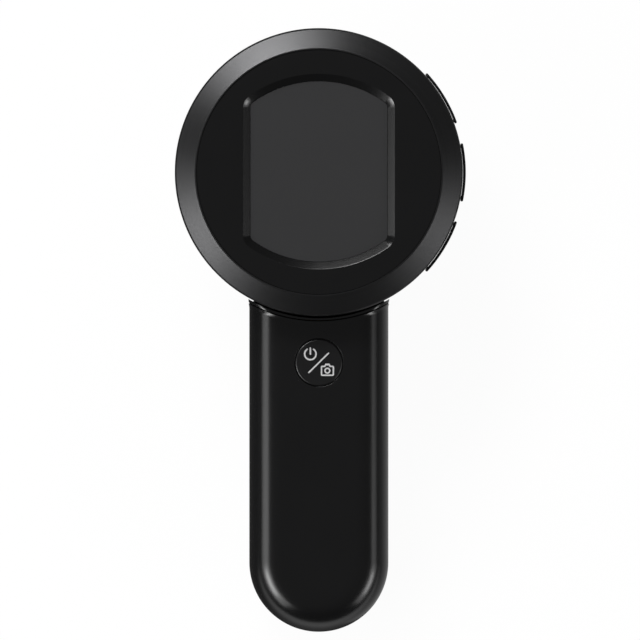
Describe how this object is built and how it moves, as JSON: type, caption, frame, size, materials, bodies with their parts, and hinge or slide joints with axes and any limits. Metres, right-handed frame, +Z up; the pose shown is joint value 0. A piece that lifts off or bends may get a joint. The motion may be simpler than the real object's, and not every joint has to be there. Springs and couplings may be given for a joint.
{
  "type": "handheld digital microscope",
  "caption": "Handheld digital microscope: round head with bevelled screen window, chamfered ring and rim keys, round-ended handle with power button, focus ring over a clear skirt.",
  "frame": {"origin": "middle of the footprint on the surface it lies on, screen up", "axes": "+Z up out of the screen, along the optical axis; -Y along the handle; +X towards the rim buttons"},
  "size_m": [0.0627, 0.13, 0.032],
  "materials": {
    "satin_black_plastic": "satin moulded black plastic",
    "matte_black_plastic": "fine matte black plastic",
    "black_anodised": "turned aluminium, black anodised, satin",
    "screen_pane": "dark grey pane over a screen that is off",
    "clear_plastic": "polished clear plastic",
    "lens_glass": "coated optical glass",
    "green_board": "green solder mask",
    "white_board": "white solder mask",
    "steel": "plated steel",
    "chip_black": "moulded epoxy",
    "black_foam": "dense foam",
    "lamp_yellow": "phosphor in a white frame",
    "cell_foil": "laminated foil pouch",
    "socket_white": "moulded nylon",
    "ribbon_amber": "polyimide film",
    "red_wire": "wire insulation",
    "black_wire": "wire insulation"
  },
  "bodies": {
    "housing": {"rear_shell": "satin_black_plastic", "handle_cover": "satin_black_plastic", "bezel_ring": "black_anodised", "face_panel": "matte_black_plastic", "screen_window": "screen_pane", "screen_gasket": "black_foam", "lcd_panel": "chip_black", "lcd_frame": "matte_black_plastic", "main_board": "green_board", "board_screw_1": "steel", "board_screw_2": "steel", "board_screw_3": "steel", "processor": "chip_black", "image_sensor": "chip_black", "ribbon_socket_head": "socket_white", "side_switch_1": "steel", "side_switch_2": "steel", "side_switch_3": "steel", "lens_tube": "matte_black_plastic", "ir_filter": "lens_glass", "clear_skirt": "clear_plastic", "led_board": "white_board", "led_1": "lamp_yellow", "led_2": "lamp_yellow", "led_3": "lamp_yellow", "led_4": "lamp_yellow", "led_5": "lamp_yellow", "led_6": "lamp_yellow", "led_7": "lamp_yellow", "led_8": "lamp_yellow", "power_switch": "steel", "control_board": "green_board", "control_board_screw_1": "steel", "control_board_screw_2": "steel", "usb_socket": "steel", "card_socket": "steel", "battery": "cell_foil", "battery_pad": "black_foam", "battery_plug": "socket_white", "battery_lead_red": "red_wire", "battery_lead_black": "black_wire", "ribbon_cable": "ribbon_amber", "ribbon_socket_handle": "socket_white", "handle_screw_1": "steel", "handle_screw_2": "steel", "handle_screw_3": "steel", "handle_screw_4": "steel"},
    "power_button": {"power_button": "matte_black_plastic"},
    "zoom_in_button": {"zoom_in_button": "matte_black_plastic"},
    "menu_button": {"menu_button": "matte_black_plastic"},
    "zoom_out_button": {"zoom_out_button": "matte_black_plastic"},
    "focus_ring": {"focus_ring": "matte_black_plastic"},
    "lens_group": {"lens_carrier": "matte_black_plastic", "front_lens": "lens_glass", "rear_lens": "lens_glass", "lens_retainer": "black_anodised"},
    "memory_card": {"memory_card": "chip_black"}
  },
  "joints": [
    {"name": "power_press", "type": "slide", "parent": "housing", "child": "power_button", "axis": [0, 0, -1], "range_m": [0, 0.0004], "stiffness_N_per_m": 400, "springref_m": -0.0005},
    {"name": "zoom_in_press", "type": "slide", "parent": "housing", "child": "zoom_in_button", "axis": [-0.8554, -0.518, 0], "range_m": [0, 0.0004], "stiffness_N_per_m": 400, "springref_m": -0.0005},
    {"name": "menu_press", "type": "slide", "parent": "housing", "child": "menu_button", "axis": [-1, 0, 0], "range_m": [0, 0.0004], "stiffness_N_per_m": 400, "springref_m": -0.0005},
    {"name": "zoom_out_press", "type": "slide", "parent": "housing", "child": "zoom_out_button", "axis": [-0.8554, 0.518, 0], "range_m": [0, 0.0004], "stiffness_N_per_m": 400, "springref_m": -0.0005},
    {"name": "focus_turn", "type": "hinge", "parent": "housing", "child": "focus_ring", "pos_m": [0, 0.03405, 0.008], "axis": [0, 0, 1], "range_deg": [-60, 60]},
    {"name": "lens_slide", "type": "slide", "parent": "housing", "child": "lens_group", "axis": [0, 0, 1], "range_m": [-0.00075, 0.00075]},
    {"name": "card_slide", "type": "slide", "parent": "housing", "child": "memory_card", "axis": [-1, 0, 0], "range_m": [0, 0.013]}
  ],
  "couplings": [
    {"joint": "focus_turn", "follows": "lens_slide", "rad_per_m": 1396.3}
  ]
}
